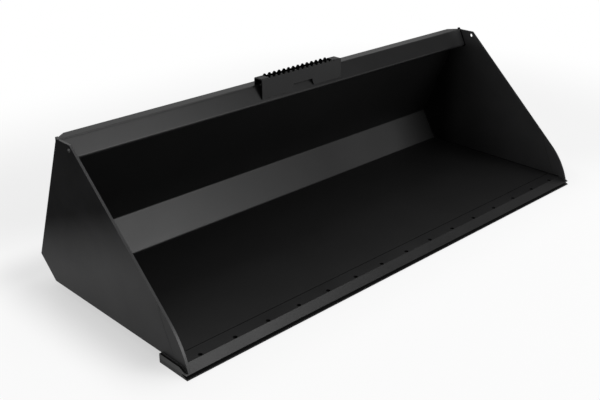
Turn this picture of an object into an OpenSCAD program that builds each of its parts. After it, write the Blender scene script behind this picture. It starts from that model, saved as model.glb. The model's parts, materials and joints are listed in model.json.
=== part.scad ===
// Utility bucket for a skid steer loader. A folded shell plate runs between two
// side plates and is stiffened by a folded top rail that carries a serrated
// step. The welded base edge has a reversible edge bolted under it, and a
// quick-attach plate is welded behind the back plate.
// Lengths are in millimetres. X runs across the bucket, Y from the cutting tip
// to the back and Z up. Outlines are drawn in the side view, with depths
// measured from the cutting tip and heights from the ground. The origin lies on
// the ground under the middle of the whole outline.

/* [Bucket] */
// Width over the outer faces of the side plates
bucket_w = 2304; // [1600:4:2600]
// Height of the top edge above the ground
bucket_h = 647; // [600:1:700]

/* [Shell plate] */
// Thickness of the folded shell plate
shell_t = 6; // [5:0.5:8]
// Depth from the cutting tip to the fold at the back of the floor
floor_depth = 802; // [720:1:880]
// Height of the fold between the sloping band and the back plate
band_top_h = 172; // [150:1:190]
// Lean of the back plate from the vertical, in degrees
back_lean = 22.5; // [18:0.5:26]
// Inner radius of the shell's two folds
shell_fold_r = 10; // [6:1:16]
// How far the floor reaches past the inner face of each side plate
floor_weld_step = 5; // [2:0.5:8]

/* [Side plates] */
// Thickness of the side plates and of their cutter inserts
side_t = 10; // [8:0.5:16]
// Flat bottom of the side plate behind the floor's fold
heel_flat = 23; // [16:1:30]
// Depth of the hindmost heel corner behind the floor's fold
heel_reach = 112; // [100:1:125]
// Height of that corner above the ground
heel_h = 120; // [105:1:135]
// How far the back edges of the side plates stand behind the back plate
side_back_step = 3; // [1:0.5:6]
// Length of the top edge, without the ear
top_edge_l = 88; // [70:1:100]
// Radius of the curve at the foot of the front edge
front_r = 340; // [280:1:380]
// Lean of the front edge from the vertical at its foot, in degrees
front_foot_lean = 15.8; // [12:0.1:20]
// Distance of the side plate's tip behind the cutting tip
side_tip_setback = 3; // [1:0.5:8]
// Height of the ear above the top edge
ear_h = 6.5; // [4:0.5:14]
// Length of the ear's top
ear_l = 8; // [6:0.5:24]
// How far the ear reaches behind the back edge
ear_reach = 3; // [2:0.5:10]
// Diameter of the hanging hole
hang_hole_d = 18; // [14:0.5:22]
// Distance of the hanging hole behind the front end of the top edge
hang_hole_back = 7; // [4:1:20]
// Distance of the hanging hole below the top edge
hang_hole_down = 19; // [16:1:28]

/* [Side cutters] */
// Depth of the bend in the seam behind each cutter insert
seam_bend_depth = 137; // [125:1:150]
// Height of that bend above the ground
seam_bend_h = 173; // [160:1:185]
// Radius of that bend
seam_bend_r = 150; // [100:5:200]
// Lean of the seam from the vertical below its bend, in degrees
seam_lower_lean = 26.2; // [23:0.1:28]
// Lean of the seam from the vertical above its bend, in degrees
seam_upper_lean = 12.4; // [8:0.1:18]

/* [Edges] */
// Depth at which both edges end, behind the base edge's nose
edge_depth = 148; // [130:1:170]
// How far both edges reach past each side plate
edge_overhang = 10; // [4:1:20]
// Thickness of the base edge
base_edge_t = 19; // [16:0.5:25]
// Depth of the bevel on the base edge
base_bevel_l = 38.5; // [30:0.5:46]
// Height of the base edge's blunt nose
base_nose_h = 2; // [1:0.5:4]
// Thickness of the bolt-on edge
bolt_on_t = 16; // [14:0.5:20]
// Depth at which the bevel on the bolt-on edge ends, behind the base edge's nose
bolt_on_bevel_l = 31; // [24:0.5:34]
// Height of the bolt-on edge's blunt nose
bolt_on_nose_h = 3; // [1:0.5:5]
// How far that nose reaches in front of the base edge's nose
bolt_on_reach = 3; // [1:0.5:8]
// Depth over which the floor laps onto the base edge
floor_lap = 49.5; // [40:0.5:56]

/* [Edge bolts] */
// Distance from one bolt to the next
bolt_pitch = 152.4; // [120:0.1:200]
// Smallest distance from the outer bolts to the ends of the edges
bolt_end_margin = 90; // [60:1:120]
// Depth of the bolt row behind the base edge's nose
bolt_setback = 48; // [48:0.5:64]
// Diameter of the bolts
bolt_d = 16; // [12:0.5:20]
// Diameter of the flush bolt heads
bolt_head_d = 28; // [26:0.5:34]
// Height of the tapered bolt heads
bolt_head_h = 8; // [6:0.5:10]
// Diameter of the bolt holes in the bolt-on edge and of the wells above the bolts
bolt_hole_d = 17.5; // [17:0.5:22]
// Depth of the open well above each bolt
bolt_well_h = 8; // [4:0.5:10]
// Gap all round the thread in the base edge
thread_clearance = 0.1; // [0.05:0.05:0.3]

/* [Top rail] */
// Thickness of the top rail
rail_t = 6; // [5:0.5:8]
// Height of the rail's front, over both folds
rail_h = 78; // [65:1:90]
// Lean of the rail's face from the vertical, in degrees
rail_face_lean = 28; // [20:0.5:32]
// Inner radius of the rail's folds
rail_fold_r = 4; // [3:0.5:8]
// How far the top flange reaches behind the back plate
rail_overhang = 38; // [28:1:50]
// Length of the clipped flange corner beside each side plate
rail_clip_l = 42; // [30:1:60]
// Depth of the clipped flange corner
rail_clip_depth = 30; // [20:1:30]

/* [Serrated step] */
// Thickness of the step plate
step_t = 5; // [4:0.5:6]
// Height of the step's plain ends above the rail
step_rise = 31.5; // [24:0.5:38]
// How far the step's front reaches below the rail's top
step_drop = 53.5; // [46:0.5:60]
// Depth of the step from front to back
step_depth = 49; // [38:1:54]
// Length of the plain top at each end
step_end_l = 41; // [30:1:60]
// Inner radius of the step's folds
step_fold_r = 1; // [1:0.5:6]
// Number of teeth along each edge
tooth_count = 14; // [8:1:18]
// Distance from one tooth to the next
tooth_pitch = 27.3; // [24:0.1:32]
// Distance of the teeth's roots below the plain ends
tooth_sink = 4; // [2:0.5:6]
// Height of the teeth above their roots
tooth_h = 8; // [5:0.5:10]
// Length of a tooth at its root
tooth_root_l = 20; // [16:0.5:22]
// Length of a tooth at its tip
tooth_tip_l = 6; // [3:0.5:10]
// Length of the notch in the front plate at its lower edge
notch_l = 132; // [90:1:160]
// Length by which each end of the notch narrows toward its top
notch_taper = 11; // [5:0.5:16]
// Height of the notch
notch_h = 29.5; // [20:0.5:34]

/* [Heel and skids] */
// Thickness of the folded heel plate
heel_plate_t = 8; // [6:0.5:10]
// Inner radius of the heel plate's fold
heel_fold_r = 6; // [4:1:10]
// Number of skid bars under the floor
skid_count = 6; // [6:1:6]
// Width of a skid bar
skid_w = 76; // [60:1:100]
// Distance from the outer skid bars to the outer face of the side plates
skid_inset = 74; // [60:1:120]
// Gap between the edges and the front ends of the skid bars
skid_gap = 17; // [10:1:40]
// Distance from the skid bars' back ends to the floor's fold
skid_back_gap = 12; // [10:1:30]
// Length of the slope at each end of a skid bar
skid_nose_l = 36; // [24:1:50]
// Height of the slope at each end of a skid bar
skid_nose_h = 22; // [16:1:24]

/* [Quick-attach mount] */
// Width of the mount plate
mount_w = 1143; // [1100:1:1180]
// Thickness of the mount plate and of its hook lip
mount_t = 10; // [8:0.5:12]
// Lean of the mount plate from the vertical, in degrees
mount_lean = 10; // [6:0.5:14]
// Height of the corner between mount plate and hook above the lower lip
mount_h = 414; // [380:1:430]
// Gap between the heel corner and the mount plate
mount_gap = 4; // [2:0.5:10]
// Length of the hook lip from that corner
hook_l = 60; // [45:1:75]
// Inner radius of the fold between mount plate and hook
hook_fold_r = 8; // [5:0.5:10]
// Angle between the hook lip and the mount plate, in degrees
hook_angle = 45; // [40:1:50]
// Length of the hook's end plates from the same corner, both ways
hook_end_l = 50; // [35:1:55]
// Height of the lower lip's underside above the ground
lip_clearance = 50; // [44:1:60]
// Thickness of the lower lip
lip_t = 12; // [10:0.5:14]
// How far the lower lip reaches behind the mount plate
lip_reach = 62; // [56:1:75]
// Distance from the ends of the lower lip to the slots' centres
slot_end_margin = 82.5; // [70:0.5:100]
// Length of a locking slot, end to end
slot_l = 65; // [55:1:75]
// Width of a locking slot
slot_w = 30; // [24:1:34]
// Distance of the slots' centres behind the mount plate
slot_setback = 32; // [26:1:36]
// Number of ribs between the mount plate and the back plate
rib_count = 4; // [4:1:4]
// Thickness of a rib and of the hook's end plates
rib_t = 10; // [8:0.5:12]
// Distance from the ribs' top ends to the rear edge of the rail's flange
rib_top_inset = 10; // [5:1:20]

/* [Hidden] */
$fn = 64;

// How far a cut runs past the surface that it opens
overrun = 2;
// Flats that make up each fold, and the curve of the front edge
fold_steps = 8;
front_steps = 24;

// Across the bucket
side_out_x = bucket_w / 2;
side_in_x = side_out_x - side_t;
edge_end_x = side_out_x + edge_overhang;
floor_end_x = side_in_x + floor_weld_step;

// Heights
floor_h = bolt_on_t + base_edge_t;
floor_under_h = floor_h - shell_t;
flange_under_h = bucket_h - rail_t;
rail_bottom_h = bucket_h - rail_h;
lip_top_h = lip_clearance + lip_t;

// Back edge of the side plates, and the back plate's two faces
heel_depth = floor_depth + heel_reach;
function back_depth(h) = heel_depth - (h - heel_h) * tan(back_lean);
function back_inner_depth(h) = back_depth(h) - shell_t / cos(back_lean);
function side_back_depth(h) = back_depth(h) + side_back_step;

// Base edge bevel
function bevel_h(depth) =
    bolt_on_t + base_nose_h + (base_edge_t - base_nose_h) * depth / base_bevel_l;

// Plane geometry
function unit(v) = v / norm(v);
function left_of(v) = [-v[1], v[0]];
function turned(v, angle) = [v[0] * cos(angle) - v[1] * sin(angle), v[0] * sin(angle) + v[1] * cos(angle)];
function angle_between(v, w) = atan2(v[0] * w[1] - v[1] * w[0], v * w);
function direction(angle) = [cos(angle), sin(angle)];
function reversed(points) = [for (i = [len(points) - 1 : -1 : 0]) points[i]];

// Arc of one fold, on the face that lies a given offset to the left of the path
function fold_arc(before, corner, after, path_r, offset) =
    let (
        dir_in = unit(corner - before),
        turn = angle_between(dir_in, after - corner),
        side = sign(turn),
        start = corner - dir_in * path_r * tan(abs(turn) / 2),
        centre = start + left_of(dir_in) * side * path_r,
        spoke = -left_of(dir_in) * side * (path_r - side * offset)
    )
    [for (i = [0 : fold_steps]) centre + turned(spoke, turn * i / fold_steps)];

// Points along one face of a folded plate
function face_points(path, path_r, offset) =
    let (last = len(path) - 1)
    concat(
        [path[0] + left_of(unit(path[1] - path[0])) * offset],
        [for (i = [1 : last - 1]) each fold_arc(path[i - 1], path[i], path[i + 1], path_r, offset)],
        [path[last] + left_of(unit(path[last] - path[last - 1])) * offset]
    );

// Side view of a folded plate between the path and the face at the offset
function folded_plate(path, path_r, offset) =
    concat(face_points(path, path_r, 0), reversed(face_points(path, path_r, offset)));

// The shell's inner faces, from the base edge to the rail's flange
shell_front = edge_depth - floor_lap;
shell_path = [
    [shell_front, floor_h],
    [floor_depth, floor_h],
    [back_inner_depth(band_top_h), band_top_h],
    [back_inner_depth(bucket_h), bucket_h]
];
band_angle = atan2(band_top_h - floor_h, back_inner_depth(band_top_h) - floor_depth);
floor_fold_start = floor_depth - shell_fold_r * tan(band_angle / 2);

// Front edge of the side plates: a curve from the tip, and its tangent to the top edge
side_tip = [side_tip_setback, bevel_h(side_tip_setback)];
front_centre = side_tip + front_r * direction(-front_foot_lean);
top_front = [side_back_depth(bucket_h) - top_edge_l, bucket_h];
to_top_front = top_front - front_centre;
front_curve_top = atan2(to_top_front[1], to_top_front[0]) + acos(front_r / norm(to_top_front));
front_curve_foot = 180 - front_foot_lean;
front_curve = [
    for (i = [0 : front_steps])
        front_centre + front_r * direction(front_curve_top + (front_curve_foot - front_curve_top) * i / front_steps)
];

// The ear behind the top edge
ear_back = side_back_depth(bucket_h) + ear_reach;
ear_foot_h = bucket_h - ear_reach / tan(back_lean);

// Top rail, from its flange's rear edge round both folds to the back plate
rail_face_angle = 270 - rail_face_lean;
rail_outer_r = rail_fold_r + rail_t;
rail_corner = back_inner_depth(flange_under_h) - rail_outer_r * tan((rail_face_angle - 180) / 2);
function rail_face_depth(h) = rail_corner - (bucket_h - h) * tan(rail_face_lean);
rail_back = back_depth(flange_under_h) + rail_overhang;
rail_path = [
    [rail_back, bucket_h],
    [rail_corner, bucket_h],
    [rail_face_depth(rail_bottom_h), rail_bottom_h],
    [back_inner_depth(rail_bottom_h) + shell_t / 2, rail_bottom_h]
];

// Serrated step
step_top_h = bucket_h + step_rise;
step_bottom_h = bucket_h - step_drop;
tooth_root_h = step_top_h - tooth_sink;
step_front = rail_face_depth(step_bottom_h) - step_t;
step_back = step_front + step_depth;
step_open_x = tooth_count * tooth_pitch / 2;
step_end_x = step_open_x + step_end_l;
step_path = [
    [step_front, step_bottom_h],
    [step_front, step_top_h],
    [step_back, step_top_h],
    [step_back, bucket_h]
];

// Heel plate: its outer face, from under the floor's fold round the heel corner
heel_plate_start = floor_fold_start + heel_plate_t / sin(atan2(heel_h - floor_h, heel_reach - heel_flat));
heel_corner = [heel_depth, heel_h];
heel_foot = [heel_plate_start, floor_under_h];
heel_path = [
    heel_foot + unit(heel_foot - heel_corner) * heel_plate_t,
    heel_corner,
    [back_depth(band_top_h), band_top_h]
];
function heel_face_depth(h) =
    heel_plate_start + (h - floor_under_h) * (heel_depth - heel_plate_start) / (heel_h - floor_under_h);

// Quick-attach mount
function mount_front(h) = heel_depth + mount_gap - (h - heel_h) * tan(mount_lean);
function mount_back(h) = mount_front(h) + mount_t / cos(mount_lean);
hook_corner_h = lip_top_h + mount_h;
hook_corner = [mount_back(hook_corner_h), hook_corner_h];
mount_down = direction(mount_lean - 90);
hook_dir = turned(mount_down, hook_angle);
hook_end_path = [hook_corner + mount_down * hook_end_l, hook_corner, hook_corner + hook_dir * hook_end_l];
mount_top_back = hook_corner + mount_down * hook_fold_r * tan((180 - hook_angle) / 2);
mount_top_front = mount_top_back - left_of(mount_down) * mount_t;
lip_back = mount_back(lip_top_h) + lip_reach;
slot_x = mount_w / 2 - slot_end_margin;
slot_depth = mount_back(lip_top_h) + slot_setback;

// The lower lip is the hindmost piece and the bolt-on edge the foremost one
total_depth = bolt_on_reach + lip_back;
// Place in Y of the base edge's nose, from which all depths are measured
nose_y = bolt_on_reach - total_depth / 2;

// Rows of equal pieces, as places across the bucket
bolt_gaps = floor((edge_end_x - bolt_end_margin) * 2 / bolt_pitch);
bolt_xs = [for (i = [0 : bolt_gaps]) (i - bolt_gaps / 2) * bolt_pitch];
skid_end_x = side_out_x - skid_inset - skid_w / 2;
rib_end_x = mount_w / 2 - rib_t / 2;
function spread(i, count, end_x) = -end_x + 2 * end_x * i / (count - 1);

// Extrudes a side view across the bucket
module across(from_x, to_x) {
    translate([from_x, nose_y, 0])
        rotate([90, 0, 90])
            linear_extrude(to_x - from_x)
                children();
}

// Extrudes a front view backward from a given depth
module backward(depth, thickness) {
    translate([0, nose_y + depth + thickness, 0])
        rotate([90, 0, 0])
            linear_extrude(thickness)
                children();
}

// Extrudes a top view upward from a given height
module upward(from_h, to_h) {
    translate([0, nose_y, from_h])
        linear_extrude(to_h - from_h)
            children();
}

// Side view of the shell, cut off under the rail's flange
module shell_profile() {
    intersection() {
        polygon(folded_plate(shell_path, shell_fold_r, -shell_t));
        square([heel_depth, flange_under_h]);
    }
}

// Floor, sloping band and back plate, folded from one sheet
module shell() {
    color("#2a2b2d") {
        across(-side_in_x, side_in_x)
            shell_profile();
        upward(floor_under_h, floor_h)
            translate([-floor_end_x, shell_front])
                square([2 * floor_end_x, floor_fold_start - shell_front]);
    }
}

// Side plate and cutter insert together
module side_outline() {
    polygon(concat(
        [
            [base_bevel_l, floor_h],
            [floor_depth + heel_flat, floor_h],
            [side_back_depth(heel_h), heel_h],
            [ear_back, ear_foot_h],
            [ear_back, bucket_h + ear_h],
            [ear_back - ear_l, bucket_h + ear_h],
            [ear_back - ear_l - ear_h / 2, bucket_h],
            top_front
        ],
        front_curve
    ));
}

// Everything in front of the seam between the insert and the side plate
module cutter_side_of_seam() {
    bend = [seam_bend_depth, seam_bend_h];
    foot = bend - seam_bend_h * [tan(seam_lower_lean), 1];
    head = bend + seam_bend_h * [tan(seam_upper_lean), 1];
    seam = face_points([foot, bend, head], seam_bend_r, 0);
    polygon(concat([[-overrun, 0]], seam, [[-overrun, head[1]]]));
}

module side_plate(from_x) {
    color("#323335")
        difference() {
            across(from_x, from_x + side_t)
                difference() {
                    side_outline();
                    cutter_side_of_seam();
                }
            across(from_x - overrun, from_x + side_t + overrun)
                translate(top_front + [hang_hole_back, -hang_hole_down])
                    circle(d = hang_hole_d);
        }
}

// Front part of each side, welded in edge to edge
module side_cutter(from_x) {
    color("#2d2e30")
        across(from_x, from_x + side_t)
            intersection() {
                side_outline();
                cutter_side_of_seam();
            }
}

// Thick welded edge under the front of the floor
module base_edge() {
    color("#3a3b3d")
        difference() {
            across(-edge_end_x, edge_end_x)
                polygon([
                    [0, bolt_on_t],
                    [edge_depth, bolt_on_t],
                    [edge_depth, floor_h],
                    [base_bevel_l, floor_h],
                    [0, bolt_on_t + base_nose_h]
                ]);
            // Rebate that takes the front of the floor
            upward(floor_under_h, floor_h + overrun)
                translate([-floor_end_x, shell_front])
                    square([2 * floor_end_x, floor_lap + overrun]);
            for (x = bolt_xs) {
                upward(bolt_on_t - overrun, floor_h)
                    translate([x, bolt_setback])
                        circle(d = bolt_d + 2 * thread_clearance);
                upward(floor_h - bolt_well_h, floor_h + overrun)
                    translate([x, bolt_setback])
                        circle(d = bolt_hole_d);
            }
        }
}

// Tapered bolt head, as the bolt has it and as the edge is sunk for it
module bolt_head(x) {
    translate([x, nose_y + bolt_setback, 0])
        cylinder(d1 = bolt_head_d, d2 = bolt_d, h = bolt_head_h);
}

// Reversible edge bolted under the base edge
module bolt_on_edge() {
    color("#303133")
        difference() {
            across(-edge_end_x, edge_end_x)
                polygon([
                    [-bolt_on_reach, 0],
                    [edge_depth, 0],
                    [edge_depth, bolt_on_t],
                    [bolt_on_bevel_l, bolt_on_t],
                    [-bolt_on_reach, bolt_on_nose_h]
                ]);
            for (x = bolt_xs) {
                bolt_head(x);
                upward(-overrun, bolt_on_t + overrun)
                    translate([x, bolt_setback])
                        circle(d = bolt_d);
                upward(bolt_head_h, bolt_on_t + overrun)
                    translate([x, bolt_setback])
                        circle(d = bolt_hole_d);
            }
        }
}

// Flush bolts, put in from below
module plow_bolts() {
    color("#1d1d1f")
        for (x = bolt_xs) {
            bolt_head(x);
            upward(bolt_head_h, floor_h - bolt_well_h)
                translate([x, bolt_setback])
                    circle(d = bolt_d);
        }
}

// Folded rail along the top, with its flange's rear corners clipped
module top_rail() {
    color("#48494c")
        difference() {
            across(-side_in_x, side_in_x)
                difference() {
                    polygon(folded_plate(rail_path, rail_outer_r, rail_t));
                    shell_profile();
                }
            upward(flange_under_h - overrun, bucket_h + overrun)
                for (side = [-1, 1])
                    polygon([
                        [side * side_in_x, rail_back - rail_clip_depth],
                        [side * (side_in_x - rail_clip_l), rail_back],
                        [side * (side_in_x - rail_clip_l), rail_back + overrun],
                        [side * (side_in_x + overrun), rail_back + overrun],
                        [side * (side_in_x + overrun), rail_back - rail_clip_depth]
                    ]);
        }
}

// Front view of one upright edge of the step, with its row of teeth
module toothed_edge(bottom_h) {
    polygon(concat(
        [[step_open_x, bottom_h], [-step_open_x, bottom_h], [-step_open_x, tooth_root_h]],
        [for (i = [0 : tooth_count - 1])
            let (x = (i + 0.5) * tooth_pitch - step_open_x)
            each [
                [x - tooth_root_l / 2, tooth_root_h],
                [x - tooth_tip_l / 2, tooth_root_h + tooth_h],
                [x + tooth_tip_l / 2, tooth_root_h + tooth_h],
                [x + tooth_root_l / 2, tooth_root_h]
            ]],
        [[step_open_x, tooth_root_h]]
    ));
}

// Channel over the rail with two toothed edges and an open middle
module serrated_step() {
    color("#343537")
        difference() {
            union() {
                across(-step_end_x, -step_open_x)
                    polygon(folded_plate(step_path, step_fold_r + step_t, -step_t));
                across(step_open_x, step_end_x)
                    polygon(folded_plate(step_path, step_fold_r + step_t, -step_t));
                backward(step_front, step_t)
                    toothed_edge(step_bottom_h);
                backward(step_back - step_t, step_t)
                    toothed_edge(bucket_h);
            }
            // Notch in the lower edge of the front plate
            backward(step_front - overrun, step_t + 2 * overrun)
                polygon([
                    [-notch_l / 2, step_bottom_h - overrun],
                    [notch_l / 2, step_bottom_h - overrun],
                    [notch_l / 2, step_bottom_h],
                    [notch_l / 2 - notch_taper, step_bottom_h + notch_h],
                    [-notch_l / 2 + notch_taper, step_bottom_h + notch_h],
                    [-notch_l / 2, step_bottom_h]
                ]);
        }
}

// Folded plate that closes the heel behind the sloping band
module heel_plate() {
    color("#2f3032")
        across(-side_in_x, side_in_x)
            difference() {
                polygon(folded_plate(heel_path, heel_fold_r + heel_plate_t, heel_plate_t));
                polygon(face_points(shell_path, shell_fold_r, -shell_t));
                square([heel_depth, floor_under_h]);
            }
}

// Wear bar under the floor, sloped at both ends
module skid_bar(i) {
    x = spread(i, skid_count, skid_end_x);
    front = edge_depth + skid_gap;
    back = floor_fold_start - skid_back_gap;
    color("#262729")
        across(x - skid_w / 2, x + skid_w / 2)
            polygon([
                [front, floor_under_h],
                [front, skid_nose_h],
                [front + skid_nose_l, 0],
                [back - skid_nose_l, 0],
                [back, skid_nose_h],
                [back, floor_under_h]
            ]);
}

// Plate that the loader's tool carrier lies against
module mount_plate() {
    color("#2c2d2f")
        across(-mount_w / 2, mount_w / 2)
            polygon([
                [mount_front(lip_top_h), lip_top_h],
                [mount_back(lip_top_h), lip_top_h],
                mount_top_back,
                mount_top_front
            ]);
}

// Folded lip on top of the mount plate, which hooks over the tool carrier's top edge
module hook_lip() {
    tip = hook_corner + hook_dir * hook_l;
    color("#303133")
        across(-mount_w / 2, mount_w / 2)
            polygon(concat(
                fold_arc(mount_top_back, hook_corner, tip, hook_fold_r, 0),
                [tip, tip + left_of(hook_dir) * mount_t],
                reversed(fold_arc(mount_top_back, hook_corner, tip, hook_fold_r, mount_t))
            ));
}

// Gusset that closes one end of the hook, outside the mount plate
module hook_end(from_x) {
    color("#2c2d2f")
        across(from_x, from_x + rib_t)
            polygon(concat(
                face_points(hook_end_path, hook_fold_r, mount_t),
                [hook_end_path[2], hook_end_path[0]]
            ));
}

// Lip with the two slots for the tool carrier's locking pins
module lower_lip() {
    color("#303133")
        difference() {
            across(-mount_w / 2, mount_w / 2)
                polygon([
                    [heel_face_depth(lip_clearance), lip_clearance],
                    [lip_back, lip_clearance],
                    [lip_back, lip_top_h],
                    [heel_face_depth(lip_top_h), lip_top_h]
                ]);
            for (side = [-1, 1])
                upward(lip_clearance - overrun, lip_top_h + overrun)
                    translate([side * slot_x, slot_depth]) {
                        square([slot_l - slot_w, slot_w], center = true);
                        for (end = [-1, 1])
                            translate([end * (slot_l - slot_w) / 2, 0])
                                circle(d = slot_w);
                    }
        }
}

// Rib from the rail's flange down the back plate to the lower lip
module back_rib(i) {
    x = spread(i, rib_count, rib_end_x);
    color("#2b2c2e")
        across(x - rib_t / 2, x + rib_t / 2)
            polygon([
                [back_depth(flange_under_h), flange_under_h],
                heel_corner,
                [heel_face_depth(lip_top_h), lip_top_h],
                [mount_front(lip_top_h), lip_top_h],
                mount_top_front,
                [rail_back - rib_top_inset, flange_under_h]
            ]);
}

shell();
side_plate(-side_out_x);  // side_plate_left
side_plate(side_in_x);  // side_plate_right
side_cutter(-side_out_x);  // side_cutter_left
side_cutter(side_in_x);  // side_cutter_right
base_edge();
bolt_on_edge();
plow_bolts();
top_rail();
serrated_step();
heel_plate();
skid_bar(0);  // skid_bar_1
skid_bar(1);  // skid_bar_2
skid_bar(2);  // skid_bar_3
skid_bar(3);  // skid_bar_4
skid_bar(4);  // skid_bar_5
skid_bar(5);  // skid_bar_6
mount_plate();
hook_lip();
hook_end(-mount_w / 2 - rib_t);  // hook_end_left
hook_end(mount_w / 2);  // hook_end_right
lower_lip();
back_rib(0);  // back_rib_1
back_rib(1);  // back_rib_2
back_rib(2);  // back_rib_3
back_rib(3);  // back_rib_4
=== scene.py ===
# %% [markdown]
# A utility bucket for a skid steer loader, dressed for a studio picture. The steel plates come from the
# CAD model and keep their shapes. This script gives them their satin black paint, adds the weld beads
# that hold them together, and sets up the floor, the light and the camera. The model is loaded first, and
# its outer size is noted.

# %% Load the imported model as the frame
import bpy
import json
import math
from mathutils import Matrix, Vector


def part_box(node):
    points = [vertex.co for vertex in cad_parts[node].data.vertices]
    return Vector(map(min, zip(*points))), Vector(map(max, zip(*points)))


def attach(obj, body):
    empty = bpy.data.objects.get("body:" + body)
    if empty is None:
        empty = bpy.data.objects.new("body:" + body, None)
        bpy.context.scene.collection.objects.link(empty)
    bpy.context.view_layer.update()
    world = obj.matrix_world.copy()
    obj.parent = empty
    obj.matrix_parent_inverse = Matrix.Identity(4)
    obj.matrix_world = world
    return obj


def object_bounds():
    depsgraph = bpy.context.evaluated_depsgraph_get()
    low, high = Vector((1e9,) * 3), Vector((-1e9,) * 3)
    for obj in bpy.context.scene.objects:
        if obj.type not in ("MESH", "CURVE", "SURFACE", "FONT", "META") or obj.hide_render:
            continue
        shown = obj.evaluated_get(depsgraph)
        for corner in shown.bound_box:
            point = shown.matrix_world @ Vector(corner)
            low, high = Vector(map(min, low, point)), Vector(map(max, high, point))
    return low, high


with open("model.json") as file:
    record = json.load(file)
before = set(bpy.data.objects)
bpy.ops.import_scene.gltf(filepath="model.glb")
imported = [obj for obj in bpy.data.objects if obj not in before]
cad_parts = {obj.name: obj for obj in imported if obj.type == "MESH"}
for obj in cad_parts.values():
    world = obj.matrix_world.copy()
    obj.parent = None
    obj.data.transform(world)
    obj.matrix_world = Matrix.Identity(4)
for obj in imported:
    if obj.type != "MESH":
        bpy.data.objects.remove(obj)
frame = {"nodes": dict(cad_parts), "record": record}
cad_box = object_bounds()
nodes = frame["nodes"]
print("nodes:", len(nodes))
for corner in cad_box:
    print("corner of the model:", [round(value, 3) for value in corner])

# %% [markdown]
# The camera comes next, because everything else is judged through it. Its
# place was worked out from the row of bolt holes, whose spacing is known: the
# bucket is seen from the front left and above, turned 44 degrees away from
# square, with a lens of 54 mm on a 36 mm sensor. The view transform Standard
# shows a colour about as it is written.

# %% Camera
CAMERA_PLACE = Vector((-2.5986, -2.5083, 1.7448))
CAMERA_YAW = math.radians(-44.11)
CAMERA_PITCH = math.radians(-24.25)
CAMERA_LENS = 54.43
SENSOR_WIDTH = 36

camera_data = bpy.data.cameras.new("photo_camera")
camera_data.lens = CAMERA_LENS
camera_data.sensor_width = SENSOR_WIDTH
camera = bpy.data.objects.new("photo_camera", camera_data)
camera.location = CAMERA_PLACE
camera.rotation_euler = (math.pi / 2 + CAMERA_PITCH, 0, CAMERA_YAW)
bpy.context.scene.collection.objects.link(camera)
bpy.context.scene.camera = camera
bpy.context.scene.view_settings.view_transform = "Standard"
print("camera at", tuple(CAMERA_PLACE))

# %% [markdown]
# A material is a tree of nodes whose sockets are joined by links. A socket
# holds a value of its own or takes another node's result. The first helper
# does either, so that the others can be given numbers as well as results. They
# do one sum, choose between two values, and turn one range of numbers into
# another.

# %% Helpers for material nodes
def put(tree, value, socket):
    if isinstance(value, bpy.types.NodeSocket):
        tree.links.new(value, socket)
    else:
        socket.default_value = value


def maths(tree, operation, first, second):
    node = tree.nodes.new("ShaderNodeMath")
    node.operation = operation
    put(tree, first, node.inputs[0])
    put(tree, second, node.inputs[1])
    return node.outputs["Value"]


def vector_maths(tree, operation, first, second=(0, 0, 0)):
    node = tree.nodes.new("ShaderNodeVectorMath")
    node.operation = operation
    put(tree, first, node.inputs[0])
    put(tree, second, node.inputs[1])
    return node.outputs["Value" if operation in ("LENGTH", "DOT_PRODUCT") else "Vector"]


def choose(tree, factor, first, second):
    choice = tree.nodes.new("ShaderNodeMix")
    put(tree, factor, choice.inputs["Factor"])
    put(tree, first, choice.inputs["A"])
    put(tree, second, choice.inputs["B"])
    return choice.outputs["Result"]


def ramp(tree, value, reach, levels, course="SMOOTHSTEP"):
    slope = tree.nodes.new("ShaderNodeMapRange")
    slope.interpolation_type = course
    slope.inputs["From Min"].default_value = reach[0]
    slope.inputs["From Max"].default_value = reach[1]
    slope.inputs["To Min"].default_value = levels[0]
    slope.inputs["To Max"].default_value = levels[1]
    put(tree, value, slope.inputs["Value"])
    return slope.outputs["Result"]


# %% [markdown]
# Satin black paint on steel is never one flat black. It has a faint orange
# peel from the spray gun, a slightly uneven gloss, and a little dust that
# settles on it. A picture of real paint could give all that, but a noise in
# object coordinates needs no picture and stays put on the plate from every
# side. One function makes every black of the bucket from its shade, roughness
# and gloss, with a clear coat on top where the shine has a wide glow.

# %% Satin black
NOISE_MIDDLE = (0.3, 0.7)
DARK_TONE = (0.85, 0.85, 0.87)
LIGHT_TONE = (1.15, 1.15, 1.18)
ROUGH_SPREAD = 0.03
PEEL_STRENGTH = 0.12
PEEL_DEPTH = 0.0004


def noise(tree, scale, detail, roughness):
    texture = tree.nodes.new("ShaderNodeTexNoise")
    texture.inputs["Scale"].default_value = scale
    texture.inputs["Detail"].default_value = detail
    texture.inputs["Roughness"].default_value = roughness
    put(tree, tree.nodes.new("ShaderNodeTexCoord").outputs["Object"], texture.inputs["Vector"])
    return texture.outputs["Fac"]


def spread(tree, value, levels):
    return ramp(tree, value, NOISE_MIDDLE, levels, course="LINEAR")


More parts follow.
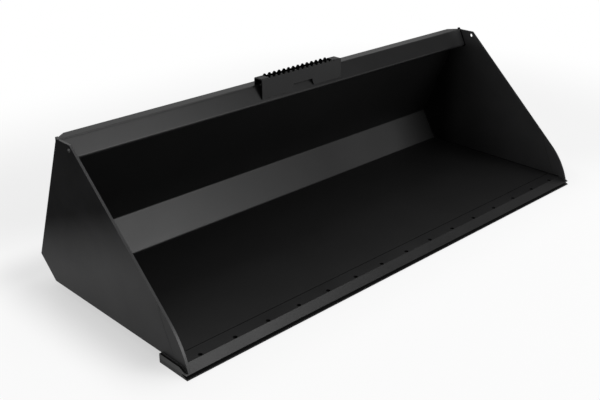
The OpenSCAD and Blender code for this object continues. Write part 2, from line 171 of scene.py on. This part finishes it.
def satin_black(name, shade, rough, gloss, coat=0, coat_rough=0.32):
    material = bpy.data.materials.new(name)
    material.use_nodes = True
    tree = material.node_tree
    paint = tree.nodes["Principled BSDF"]

    tone = tree.nodes.new("ShaderNodeMix")
    tone.data_type = "RGBA"
    tone.inputs["A"].default_value = [shade * share for share in DARK_TONE] + [1]
    tone.inputs["B"].default_value = [shade * share for share in LIGHT_TONE] + [1]
    dust = noise(tree, scale=9, detail=6, roughness=0.6)
    put(tree, spread(tree, dust, (0, 1)), tone.inputs["Factor"])
    put(tree, tone.outputs["Result"], paint.inputs["Base Color"])

    wear = noise(tree, scale=4, detail=8, roughness=0.65)
    rough_levels = (rough - ROUGH_SPREAD, rough + ROUGH_SPREAD)
    put(tree, spread(tree, wear, rough_levels), paint.inputs["Roughness"])
    paint.inputs["Specular IOR Level"].default_value = gloss
    paint.inputs["Coat Weight"].default_value = coat
    paint.inputs["Coat Roughness"].default_value = coat_rough

    peel = tree.nodes.new("ShaderNodeBump")
    peel.inputs["Strength"].default_value = PEEL_STRENGTH
    peel.inputs["Distance"].default_value = PEEL_DEPTH
    put(tree, noise(tree, scale=900, detail=2, roughness=0.5), peel.inputs["Height"])
    put(tree, peel.outputs["Normal"], paint.inputs["Normal"])
    return material


# %% [markdown]
# The bucket wears one satin black, but each kind of plate gets a copy of its own, with its ground and
# gloss set to how light or dark it shows: lit and shaded copies of one paint. The shell has the darkest
# ground of the plates, painted shade for the inside of the bucket, and a hazy coat, and the rail has a
# paler ground and a clearer coat. The side plates are the palest, painted light on them. The beads are
# dull, and the thin seams even more so.

# %% The paints of the bucket
# darkest ground: painted shade for the inside of the bucket
shell_paint = satin_black("shell_paint", shade=0.0025, rough=0.32, gloss=0.26, coat=0.56, coat_rough=0.56)
rail_paint = satin_black("rail_paint", shade=0.009, rough=0.55, gloss=0, coat=0.58, coat_rough=0.31)
edge_paint = satin_black("edge_paint", shade=0.008, rough=0.34, gloss=0.5)
# darker and duller: painted shade under the overhanging base edge
low_edge_paint = satin_black("low_edge_paint", shade=0.007, rough=0.38, gloss=0.24)
step_paint = satin_black("step_paint", shade=0.008, rough=0.48, gloss=0.26)
mount_paint = satin_black("mount_paint", shade=0.008, rough=0.45, gloss=0.3)
# palest ground: painted light on the side plates
side_paint = satin_black("side_paint", shade=0.023, rough=0.40, gloss=0.135)
bolt_black = satin_black("bolt_black", shade=0.006, rough=0.5, gloss=0.4)
bead_black = satin_black("bead_black", shade=0.003, rough=0.6, gloss=0.12)
# near-black and dull: painted shadow lines along the seams and the rail's end
painted_seam_shadow = satin_black("painted_seam_shadow", shade=0.0012, rough=0.8, gloss=0.03)
print("paints:", [material.name for material in bpy.data.materials])

# %% [markdown]
# On one and the same plate the paint is set apart from face to face, mostly as painted light and shade
# that falls differently on each face. Each face could get its own material, but the plates' meshes are
# left alone. So one material asks the surface where it is and which way it looks. A dot product with a
# direction tells how far a place lies along it, or how much a surface looks that way.
# The product of the two, with the place counted from the plate's middle, is
# positive on faces that look outwards and negative on those that look inwards.

# %% Helpers that tell faces apart
ACROSS = (1, 0, 0)
BACKWARDS = (0, 1, 0)
UPWARDS = (0, 0, 1)


def place_along(tree, direction):
    spot = tree.nodes.new("ShaderNodeTexCoord").outputs["Object"]
    return vector_maths(tree, "DOT_PRODUCT", spot, direction)


def facing(tree, direction):
    look = tree.nodes.new("ShaderNodeTexCoord").outputs["Normal"]
    return vector_maths(tree, "DOT_PRODUCT", look, direction)


def turned_out(tree, axis, middle):
    offset = maths(tree, "SUBTRACT", place_along(tree, axis), middle)
    return maths(tree, "MULTIPLY", offset, facing(tree, axis))


def fade_along(tree, direction, reach, levels):
    return ramp(tree, place_along(tree, direction), reach, levels)


# %% [markdown]
# A finished paint is then changed where such an answer says so. Its colour can
# be multiplied by a share, one of its values can be replaced, and a value can
# be scaled. The value that was written into the socket stays under the link,
# as the paint's usual value.

# %% Helpers that change a finished paint
def socket_of(material, name):
    return material.node_tree.nodes["Principled BSDF"].inputs[name]


def tint(material, where, share):
    tree = material.node_tree
    colour = socket_of(material, "Base Color")
    tinted = tree.nodes.new("ShaderNodeMix")
    tinted.data_type = "RGBA"
    tinted.blend_type = "MULTIPLY"
    put(tree, where, tinted.inputs["Factor"])
    put(tree, colour.links[0].from_socket, tinted.inputs["A"])
    if isinstance(share, (int, float)):
        share = (share, share, share, 1)
    put(tree, share, tinted.inputs["B"])
    put(tree, tinted.outputs["Result"], colour)


def replace_value(material, name, where, value):
    tree = material.node_tree
    socket = socket_of(material, name)
    usual = socket.links[0].from_socket if socket.is_linked else socket.default_value
    put(tree, choose(tree, where, usual, value), socket)


def scale_value(material, name, share):
    tree = material.node_tree
    socket = socket_of(material, name)
    put(tree, maths(tree, "MULTIPLY", share, socket.default_value), socket)


# %% [markdown]
# On the outer faces of the side plates the gloss fades towards the top, so that their lower part mirrors
# more of the pale floor: a painted reflection of the bright floor close to the bucket. The inner faces
# are rougher, and they get darker and duller towards the back corner, as painted shade in that corner,
# while towards the front and up at the ear their ground is paler, as painted light. The cut edges shine
# on the left side of the bucket and are dull on the right one. The plates stand over a metre from the
# middle of the bucket, so their outer faces give 1.15 and their inner faces -1.14.

# %% Side plates
FACE_LIMIT = 0.9
OUTER_GLOSS = (0.135, 0.002)
FADE_DIRECTION = (0, 0.4, 1)
FADE_HEIGHT = (0.15, 0.45)
CUT_GLOSS = (0.5, 0.03)
CUT_REACH = (0.5, 1.0)
INNER_ROUGH = 0.55
INNER_GLOSS = (0.75, 0.15)
GLOSS_DEPTH = (0.15, 0.27)
INNER_PAINTED_LIGHT_AND_SHADE = (1.4, 0.1)
SHADE_DIRECTION = (0, 1, -0.3)
SHADE_DEPTH = (-0.35, 0.2)
EAR_PAINTED_LIGHT = (1, 2.5)
EAR_HEIGHT = (0.55, 0.63)


def wear_side_paint():
    tree = side_paint.node_tree
    outwards = turned_out(tree, ACROSS, 0)
    outside = maths(tree, "GREATER_THAN", outwards, FACE_LIMIT)
    inside = maths(tree, "LESS_THAN", outwards, -FACE_LIMIT)

    # gloss fading upwards: a painted reflection of the bright floor near the bucket
    outer_gloss = fade_along(tree, FADE_DIRECTION, FADE_HEIGHT, OUTER_GLOSS)
    cut_gloss = fade_along(tree, ACROSS, CUT_REACH, CUT_GLOSS)
    inner_gloss = fade_along(tree, BACKWARDS, GLOSS_DEPTH, INNER_GLOSS)
    put(tree, choose(tree, outside, cut_gloss, outer_gloss), socket_of(side_paint, "Specular IOR Level"))
    replace_value(side_paint, "Specular IOR Level", inside, inner_gloss)
    replace_value(side_paint, "Roughness", inside, INNER_ROUGH)

    # inner faces: painted shade towards the back corner, painted light towards the front and at the ear
    painted_inner_light_and_shade = fade_along(tree, SHADE_DIRECTION, SHADE_DEPTH, INNER_PAINTED_LIGHT_AND_SHADE)
    painted_ear_light = fade_along(tree, UPWARDS, EAR_HEIGHT, EAR_PAINTED_LIGHT)
    tint(side_paint, inside, maths(tree, "MULTIPLY", painted_inner_light_and_shade, painted_ear_light))


wear_side_paint()
print("side paint has", len(side_paint.node_tree.nodes), "nodes")

# %% [markdown]
# The inner faces of the step's channel get painted shade: they are made dull and nearly black, so that
# the teeth of the back row stand out dark. They look towards the middle of the step. The narrow upright
# nose of the base edge sits in the corner over the second edge and gets painted shade as well. Only the
# nose and the hidden rear face lie so far from the edge's middle and look away from it. The ends of both
# edges are a little darker, as painted shade, and duller than the rest.

# %% Painted shade on the step and the edges
STEP_LIMIT = -0.01
STEP_PAINTED_SHADE = 0.25
STEP_GLOSS = 0.02
NOSE_LIMIT = 0.07
NOSE_PAINTED_SHADE = 0.4
NOSE_GLOSS = 0.05
END_LIMIT = 1
END_PAINTED_SHADE = 0.9
END_GLOSS = 0.3
LOW_END_GLOSS = 0.2


def middle_depth(node):
    low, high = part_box(node)
    return (low[1] + high[1]) / 2


# Tints the chosen faces darker, as painted shade, and makes them duller.
def dull(material, operation, outwards, limit, shade, gloss):
    where = maths(material.node_tree, operation, outwards, limit)
    tint(material, where, shade)
    replace_value(material, "Specular IOR Level", where, gloss)


step_outwards = turned_out(step_paint.node_tree, BACKWARDS, middle_depth("serrated_step"))
dull(step_paint, "LESS_THAN", step_outwards, STEP_LIMIT, STEP_PAINTED_SHADE, STEP_GLOSS)
nose_outwards = turned_out(edge_paint.node_tree, BACKWARDS, middle_depth("base_edge"))
dull(edge_paint, "GREATER_THAN", nose_outwards, NOSE_LIMIT, NOSE_PAINTED_SHADE, NOSE_GLOSS)
for paint, gloss in ((edge_paint, END_GLOSS), (low_edge_paint, LOW_END_GLOSS)):
    end_outwards = turned_out(paint.node_tree, ACROSS, 0)
    dull(paint, "GREATER_THAN", end_outwards, END_LIMIT, END_PAINTED_SHADE, gloss)
for node in ("serrated_step", "base_edge"):
    print("middle of", node, "at", round(middle_depth(node), 4))

# %% [markdown]
# The shell is one folded sheet, and its three faces get a different gloss and coat, set to how much each
# one shines under the studio light: a painted sheen. The sloping band shines more towards its right end,
# and the back plate above it, in the shade of the rail, is the dullest. How much a surface looks upwards
# tells the three apart: 1 on the floor, about 0.5 on the band and below zero on the back plate.

# %% Painted sheen on the shell
FLOOR_LOOK = 0.8
FLOOR_SHARE = 0.82
BACK_LOOK = -0.1
BACK_SHARE = 0.65
BAND_REACH = (0.3, 0.9)
BAND_SHARE = (1, 1.85)


def wear_shell_paint():
    tree = shell_paint.node_tree
    upwards = facing(tree, UPWARDS)
    share = fade_along(tree, ACROSS, BAND_REACH, BAND_SHARE)
    share = choose(tree, maths(tree, "GREATER_THAN", upwards, FLOOR_LOOK), share, FLOOR_SHARE)
    share = choose(tree, maths(tree, "LESS_THAN", upwards, BACK_LOOK), share, BACK_SHARE)
    # gloss and coat scaled face by face: a painted sheen
    scale_value(shell_paint, "Specular IOR Level", share)
    scale_value(shell_paint, "Coat Weight", share)


wear_shell_paint()
print("shell paint has", len(shell_paint.node_tree.nodes), "nodes")

# %% [markdown]
# The fold along the rail's top looks less upwards than the flange behind it and more than the leaning
# face below it. Its coat is made stronger there, most of all at its left end, as a painted highlight
# along the fold. At the right end, in the corner with the side plate, the rail's paint is a little paler:
# painted light against the shade in that corner.

# %% Painted highlight on the rail's fold and painted light at its end
FOLD_LOOK = (0.5, 0.97)
FOLD_REACH = (-1.1, 0.2)
FOLD_SHARE = (1.5, 1.1)
RAIL_END_REACH = (1.02, 1.13)
RAIL_END_SHARE = 2.5


def wear_rail_paint():
    tree = rail_paint.node_tree
    upwards = facing(tree, UPWARDS)
    share = fade_along(tree, ACROSS, FOLD_REACH, FOLD_SHARE)
    share = choose(tree, maths(tree, "GREATER_THAN", upwards, FOLD_LOOK[0]), 1, share)
    share = choose(tree, maths(tree, "GREATER_THAN", upwards, FOLD_LOOK[1]), share, 1)
    # a stronger coat along the fold: a painted highlight
    scale_value(rail_paint, "Coat Weight", share)
    # paler at the right end: painted light against the corner's shade
    tint(rail_paint, fade_along(tree, ACROSS, RAIL_END_REACH, (0, 1)), RAIL_END_SHARE)


wear_rail_paint()
print("rail paint has", len(rail_paint.node_tree.nodes), "nodes")

# %% [markdown]
# Each plate of the frame takes its paint by its material slot, and a few take another one by their node:
# the second edge is darker than the first, as painted shade under the base edge, and the side plates and
# their cutters are paler than the shell between them, as painted light on them.

# %% Paint the plates
PAINT_OF_SLOT = {
    "body_paint": shell_paint,
    "rail_paint": rail_paint,
    "edge_paint": edge_paint,
    "step_paint": step_paint,
    "mount_paint": mount_paint,
    "bolt_steel": bolt_black,
}
PAINT_OF_NODE = {"bolt_on_edge": low_edge_paint}
for side_name in ("left", "right"):
    PAINT_OF_NODE["side_plate_" + side_name] = side_paint
    PAINT_OF_NODE["side_cutter_" + side_name] = side_paint
for part in frame["record"]["subparts"]:
    plate = nodes[part["node"]]
    paint = PAINT_OF_NODE.get(part["node"], PAINT_OF_SLOT[part["material_slot"]])
    plate.data.materials.clear()
    plate.data.materials.append(paint)
    print(part["node"], "has", paint.name)

# %% [markdown]
# The plates of the frame meet without any welds, so the beads are added here.
# A bead could be a plain rod, but a real one has ripples. So it is a row of
# short cones set one in the other: one cone is laid at the start of a joint,
# an array repeats it to the end, and all the runs that belong together are
# joined to one piece. A joint is written as (depth, height) in millimetres in
# the side view, with the depth counted from the nose of the base edge.

# %% Helpers that lay the beads
BEAD_SIDES = 8
RIPPLE_SHARE = 1.4
NARROW_SHARE = 0.75
SMOOTH_ANGLE = math.radians(40)
nose_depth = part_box("base_edge")[0][1]


def place(x, point):
    depth, height = point
    return Vector((x, nose_depth + depth / 1000, height / 1000))


def across(reach, point):
    return [place(-reach, point), place(reach, point)]


def on_both_sides(x, points):
    return [[place(side * x, point) for point in points] for side in (-1, 1)]


def lay_run(start, end, radius):
    way = end - start
    ripple = RIPPLE_SHARE * radius
    bpy.ops.object.select_all(action="DESELECT")
    bpy.ops.mesh.primitive_cone_add(
        vertices=BEAD_SIDES,
        radius1=NARROW_SHARE * radius,
        radius2=radius,
        depth=ripple,
        location=start,
        rotation=way.to_track_quat("Z", "Y").to_euler(),
    )
    run = bpy.context.active_object
    repeat = run.modifiers.new("repeat", "ARRAY")
    repeat.use_relative_offset = False
    repeat.use_constant_offset = True
    repeat.constant_offset_displace = (0, 0, ripple)
    repeat.count = max(1, round(way.length / ripple))
    bpy.ops.object.modifier_apply(modifier="repeat")
    return run


def lay_beads(name, paint, joints, radius):
    runs = []
    for points in joints:
        for start, end in zip(points, points[1:]):
            runs.append(lay_run(start, end, radius))
    bpy.ops.object.select_all(action="DESELECT")
    for run in runs:
        run.select_set(True)
    bpy.context.view_layer.objects.active = runs[0]
    bpy.ops.object.join()
    bpy.ops.object.transform_apply(location=True, rotation=True, scale=True)
    bpy.ops.object.shade_smooth_by_angle(angle=SMOOTH_ANGLE)
    bead = bpy.context.active_object
    bead.name = name
    bead.data.name = name
    bead.data.materials.clear()
    bead.data.materials.append(paint)
    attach(bead, "root")
    print(name, len(runs), "runs,", len(bead.data.polygons), "faces")


# %% [markdown]
# First come the corners between the side plates and what lies between them: the shell inside, the rail
# above, and the heel plate and the back behind. The rail's beads take the near-black seam paint, a
# painted shadow line, so that its end shows as a fine dark line. One long bead joins the top of the heel
# plate to the back plate.

# %% Beads along the side plates' inner faces
SHELL_CORNER = [(45, 35), (802, 35), (886, 172), (721.5, 569)]
RAIL_CORNER = [(681, 640), (648, 576), (655, 569), (719, 569)]
HEEL_CORNER = [(811, 32), (914, 120), (892.5, 172), (700, 637)]
HEEL_TOP = (892.5, 172)
HEEL_TOP_END = 1.138
side_inner_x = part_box("side_plate_right")[0][0]

shell_joints = on_both_sides(side_inner_x, SHELL_CORNER)
rail_joints = on_both_sides(side_inner_x, RAIL_CORNER)
heel_joints = on_both_sides(side_inner_x, HEEL_CORNER) + [across(HEEL_TOP_END, HEEL_TOP)]
lay_beads("shell_beads", bead_black, shell_joints, radius=0.004)
# the rail's beads in the seam paint: a painted shadow line at the rail's end
lay_beads("rail_beads", painted_seam_shadow, rail_joints, radius=0.0035)
lay_beads("heel_beads", shell_paint, heel_joints, radius=0.003)

# %% [markdown]
# The floor sheet lies in a rebate of the base edge. Along its seam above, and along the seams of the
# cutter inserts inside the bucket, a near-black bead is laid as a thin painted shadow line. Outside,
# those seams are painted over with the side plates. Such a bead is sunk into the plate until only its top
# shows.
# A full bead lies under the floor, small beads run along the feet of both side
# plates on the base edge, and behind them a bead closes the line between the
# side plate's foot and the end of the floor sheet.

# %% Beads on the edge and on the side plates
FOOT_JOINT = [(8, 21), (38.5, 35), (147, 35)]
SHEET_JOINT = [(152, 34), (794, 34)]
SEAM_JOINT = [(70, 36), (129, 156.7), (136, 172.4), (140.9, 190.8), (146.5, 216.5)]
SEAM_DEPTH = 0.0018
SHEET_DEPTH = 0.0005
UNDER_BEAD = (148, 29)
UNDER_BEAD_END = 1.144
FLOOR_SEAM = (98.5, 33.6)
FLOOR_SEAM_END = 1.136
side_outer_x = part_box("side_plate_right")[1][0]
sheet_end_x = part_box("shell")[1][0]

edge_joints = [across(UNDER_BEAD_END, UNDER_BEAD)] + on_both_sides(side_outer_x, FOOT_JOINT)
outer_seams = on_both_sides(side_outer_x - SEAM_DEPTH, SEAM_JOINT)
sheet_seams = on_both_sides(sheet_end_x - SHEET_DEPTH, SHEET_JOINT)
inner_seams = on_both_sides(side_inner_x + SEAM_DEPTH, SEAM_JOINT)
inner_seams.append(across(FLOOR_SEAM_END, FLOOR_SEAM))
lay_beads("edge_beads", edge_paint, edge_joints, radius=0.003)
lay_beads("seam_beads", side_paint, outer_seams + sheet_seams, radius=0.0025)
# the inner seams: thin painted shadow lines
lay_beads("inner_seams", painted_seam_shadow, inner_seams, radius=0.0022)

# %% [markdown]
# The step is welded to the rail with two short beads under the foot of its
# front plate, one on each side of the notch, and with five stitches behind.

# %% Beads of the step
STEP_FOOT = (657, 593.5)
STEP_FOOT_REACH = (0.072, 0.228)
STITCH = (701, 647)
STITCH_PLACES = (-0.2, -0.1, 0, 0.1, 0.2)
STITCH_HALF = 0.026

step_joints = []
for side in (-1, 1):
    step_joints.append([place(side * x, STEP_FOOT) for x in STEP_FOOT_REACH])
for x in STITCH_PLACES:
    step_joints.append([place(x - STITCH_HALF, STITCH), place(x + STITCH_HALF, STITCH)])
lay_beads("step_beads", bead_black, step_joints, radius=0.0025)

# %% [markdown]
# Behind the bucket, each rib is welded along both its faces to the flange, the
# back plate and the heel plate, and the mount plate is welded to the ribs. The
# two outer ribs are flush with the mount plate's ends, so there the bead is
# left out on the outer face. The lower lip has three beads: two along the heel
# plate, above and below it, and one along the mount plate.

# %% Beads on the ribs and on the mount
RIB_JOINT = [(722, 641), (698, 641), (914, 120), (847, 62)]
PLATE_JOINT = [(928, 66), (859.5, 452)]
LIP_JOINTS = [(846.4, 62), (832.5, 50), (928.2, 62)]
RIB_COUNT = 4
END_MARGIN = 0.0025
mount_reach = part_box("mount_plate")[1][0] - END_MARGIN

rib_joints = []
for number in range(1, RIB_COUNT + 1):
    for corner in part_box("back_rib_" + str(number)):
        face_x = corner[0]
        rib_joints.append([place(face_x, point) for point in RIB_JOINT])
        if abs(face_x) < mount_reach:
            rib_joints.append([place(face_x, point) for point in PLATE_JOINT])
lip_joints = [across(mount_reach, point) for point in LIP_JOINTS]
lay_beads("rib_beads", mount_paint, rib_joints, radius=0.0035)
lay_beads("lip_beads", mount_paint, lip_joints, radius=0.004)

# %% [markdown]
# Under the floor, every skid bar has a bead along each of its sides.

# %% Beads on the skid bars
SKID_JOINT = [(168, 29), (781, 29)]
SKID_COUNT = 6

skid_joints = []
for number in range(1, SKID_COUNT + 1):
    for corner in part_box("skid_bar_" + str(number)):
        skid_joints.append([place(corner[0], point) for point in SKID_JOINT])
lay_beads("skid_beads", shell_paint, skid_joints, radius=0.004)

# %% [markdown]
# The studio has a wide pale floor. The camera and the mirrors in the paint see
# it white, and close to the bucket a share of its true shading stays, so the
# bucket keeps its shadow. The share is largest where the bucket touches the
# floor, and a wide faint part of it lies around and behind the bucket. The
# distance from the bucket's footprint tells how much is left: what lies
# outside the footprint along each axis makes a vector, and its length is that
# distance.

# %% How much of the floor's shading stays
FOOTPRINT_HALF = (1.162, 0.5, 0)
CONTACT_REACH = (0, 0.25)
CONTACT_SHARES = (0.06, 0.33)
CONTACT_DEPTH = (-0.55, -0.3)
WIDE_REACH = (0.8, 2.2)
WIDE_SHARES = (0.1, 0.3)
WIDE_DIRECTION = (0.5, 1, 0)
WIDE_DEPTH = (-0.1, 0.6)


def shadow_share(tree):
    spot = tree.nodes.new("ShaderNodeTexCoord").outputs["Object"]
    outside = vector_maths(tree, "SUBTRACT", vector_maths(tree, "ABSOLUTE", spot), FOOTPRINT_HALF)
    distance = vector_maths(tree, "LENGTH", vector_maths(tree, "MAXIMUM", outside))
    contact_level = fade_along(tree, BACKWARDS, CONTACT_DEPTH, CONTACT_SHARES)
    wide_level = fade_along(tree, WIDE_DIRECTION, WIDE_DEPTH, WIDE_SHARES)
    contact = maths(tree, "MULTIPLY", ramp(tree, distance, CONTACT_REACH, (1, 0)), contact_level)
    wide = maths(tree, "MULTIPLY", ramp(tree, distance, WIDE_REACH, (1, 0)), wide_level)
    return maths(tree, "ADD", contact, wide)


# %% [markdown]
# The floor's material mixes two shaders. One is a pale matt ground that is lit
# and shaded like any other. The other is plain white light at strength 1,
# which Light Path shows to the camera and to reflections, less the share of
# shading that stays. More light on the scene would also make the floor white,
# but it would wash out the bucket.

# %% Floor
FLOOR_WHITE = 0.93
FLOOR_ROUGH = 0.9
FLOOR_GLOSS = 0.1
FLOOR_SIZE = 60
WHITE = (1, 1, 1, 1)


def floor_material():
    material = bpy.data.materials.new("pale_floor")
    material.use_nodes = True
    tree = material.node_tree
    shaded = tree.nodes["Principled BSDF"]
    shaded.inputs["Base Color"].default_value = (FLOOR_WHITE, FLOOR_WHITE, FLOOR_WHITE, 1)
    shaded.inputs["Roughness"].default_value = FLOOR_ROUGH
    shaded.inputs["Specular IOR Level"].default_value = FLOOR_GLOSS
    white = tree.nodes.new("ShaderNodeEmission")
    white.inputs["Color"].default_value = WHITE
    white.inputs["Strength"].default_value = 1

    rays = tree.nodes.new("ShaderNodeLightPath").outputs
    mirrored = maths(tree, "MAXIMUM", rays["Is Glossy Ray"], rays["Is Transmission Ray"])
    seen = maths(tree, "MAXIMUM", mirrored, rays["Is Camera Ray"])
    seen_white = maths(tree, "MULTIPLY", seen, maths(tree, "SUBTRACT", 1, shadow_share(tree)))
    blend = tree.nodes.new("ShaderNodeMixShader")
    put(tree, seen_white, blend.inputs["Fac"])
    put(tree, shaded.outputs["BSDF"], blend.inputs[1])
    put(tree, white.outputs["Emission"], blend.inputs[2])
    put(tree, blend.outputs["Shader"], tree.nodes["Material Output"].inputs["Surface"])
    return material


bpy.ops.object.select_all(action="DESELECT")
bpy.ops.mesh.primitive_plane_add(size=FLOOR_SIZE, location=(0, 0, 0))
floor = bpy.context.active_object
floor.name = "floor"
floor.data.materials.append(floor_material())
print("floor of", FLOOR_SIZE, "m")

# %% [markdown]
# The studio itself is dim. A world of one plain grey gives the light that
# comes from all sides.

# %% World
STUDIO_LEVEL = 0.24

world = bpy.data.worlds.new("studio")
bpy.context.scene.world = world
world.use_nodes = True
background = world.node_tree.nodes["Background"]
background.inputs["Color"].default_value = WHITE
background.inputs["Strength"].default_value = STUDIO_LEVEL
print("studio level", STUDIO_LEVEL)

# %% [markdown]
# Black paint shows what it mirrors, so the light is built from eight square
# softboxes around the bucket, all turned towards its middle. Each has a place,
# the length of its side in metres, and a brightness. Three stand in front and
# light the rail's face and the sloping band. Two hang above for the floor
# sheet, the edge and the folds. Three are behind, and the flange, the bevels
# and the right end mirror them. A lamp's power is its brightness times its
# area and pi, so that a larger softbox isn't a dimmer one.

# %% Softboxes
SOFTBOX_TARGET = Vector((0, 0, 0.3))
SOFTBOXES = {
    "front_low": ((2.5, -6.1, 2.4), 3, 5.35),
    "front_middle": ((1.9, -4.9, 3.9), 2.2, 2.13),
    "front_high": ((0, -4.95, 5.25), 3, 1.51),
    "overhead": ((2.2, -0.3, 6.6), 2.4, 2.15),
    "right_high": ((3.0, 1.0, 6.0), 3, 0.9),
    "back_high": ((0, 3.5, 6.36), 3, 2.86),
    "back_right": ((4.8, 4.8, 2.0), 3, 0.58),
    "back_low": ((2.2, 6.1, 2.6), 3, 0.55),
}


def softbox(name, spot, size, brightness):
    lamp = bpy.data.lights.new(name, "AREA")
    lamp.shape = "RECTANGLE"
    lamp.size = size
    lamp.size_y = size
    lamp.energy = brightness * math.pi * size * size
    box = bpy.data.objects.new(name, lamp)
    box.location = spot
    box.rotation_euler = (SOFTBOX_TARGET - Vector(spot)).to_track_quat("-Z", "Y").to_euler()
    bpy.context.scene.collection.objects.link(box)
    print(name, round(lamp.energy), "W")


for name, (spot, size, brightness) in SOFTBOXES.items():
    softbox(name + "_softbox", spot, size, brightness)
